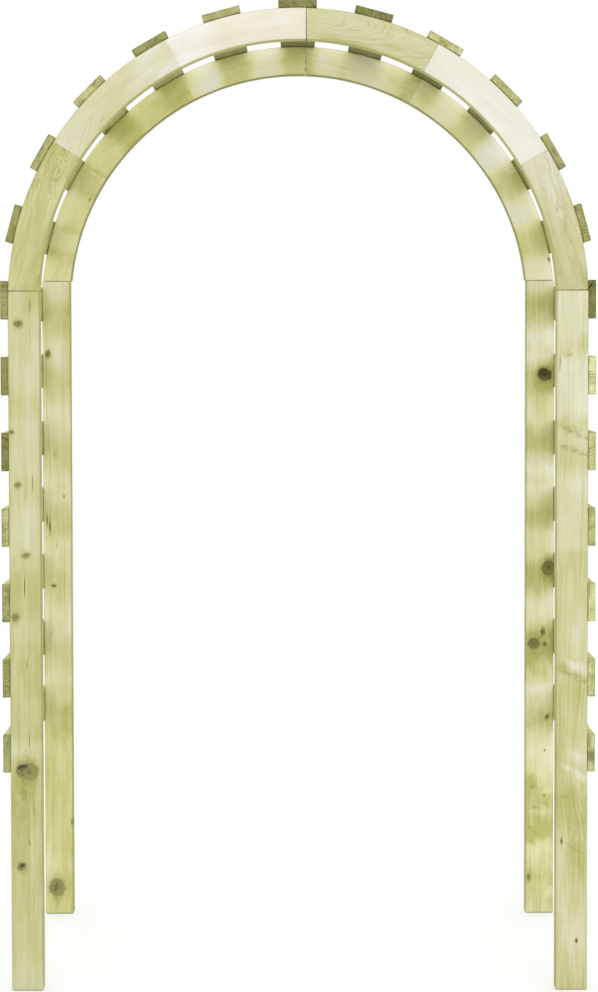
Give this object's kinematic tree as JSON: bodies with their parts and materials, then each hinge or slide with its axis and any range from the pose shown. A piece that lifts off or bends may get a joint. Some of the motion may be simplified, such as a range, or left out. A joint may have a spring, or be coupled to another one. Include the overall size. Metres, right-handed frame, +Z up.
{
  "type": "garden arch",
  "caption": "Free-standing round-topped garden arch of treated pine: two post-and-ring frames tied by flat slats for climbing plants to grow over.",
  "frame": {"origin": "on the ground, in the middle of the four feet", "axes": "+Z up, +X to the right across the passage, +Y along the passage towards the back"},
  "size_m": [1.316, 0.5, 2.2],
  "materials": {
    "post_pine": "planed, pressure treated",
    "ring_pine": "planed, pressure treated",
    "slat_pine": "planed, pressure treated",
    "dowel_beech": "plain",
    "screw_steel": "zinc plated"
  },
  "bodies": {
    "root": {"front_left_post": "post_pine", "front_left_lower_segment": "ring_pine", "front_left_middle_segment": "ring_pine", "front_left_upper_segment": "ring_pine", "front_right_post": "post_pine", "front_right_lower_segment": "ring_pine", "front_right_middle_segment": "ring_pine", "front_right_upper_segment": "ring_pine", "back_left_post": "post_pine", "back_left_lower_segment": "ring_pine", "back_left_middle_segment": "ring_pine", "back_left_upper_segment": "ring_pine", "back_right_post": "post_pine", "back_right_lower_segment": "ring_pine", "back_right_middle_segment": "ring_pine", "back_right_upper_segment": "ring_pine", "left_slat_1": "slat_pine", "left_slat_2": "slat_pine", "left_slat_3": "slat_pine", "left_slat_4": "slat_pine", "left_slat_5": "slat_pine", "left_slat_6": "slat_pine", "left_slat_7": "slat_pine", "right_slat_1": "slat_pine", "right_slat_2": "slat_pine", "right_slat_3": "slat_pine", "right_slat_4": "slat_pine", "right_slat_5": "slat_pine", "right_slat_6": "slat_pine", "right_slat_7": "slat_pine", "arch_slat_1": "slat_pine", "arch_slat_2": "slat_pine", "arch_slat_3": "slat_pine", "arch_slat_4": "slat_pine", "arch_slat_5": "slat_pine", "arch_slat_6": "slat_pine", "arch_slat_7": "slat_pine", "arch_slat_8": "slat_pine", "arch_slat_9": "slat_pine", "arch_slat_10": "slat_pine", "arch_slat_11": "slat_pine", "left_slat_screws": "screw_steel", "right_slat_screws": "screw_steel", "arch_slat_screws": "screw_steel", "post_dowels": "dowel_beech", "segment_dowels": "dowel_beech", "crown_dowels": "dowel_beech"}
  },
  "joints": []
}
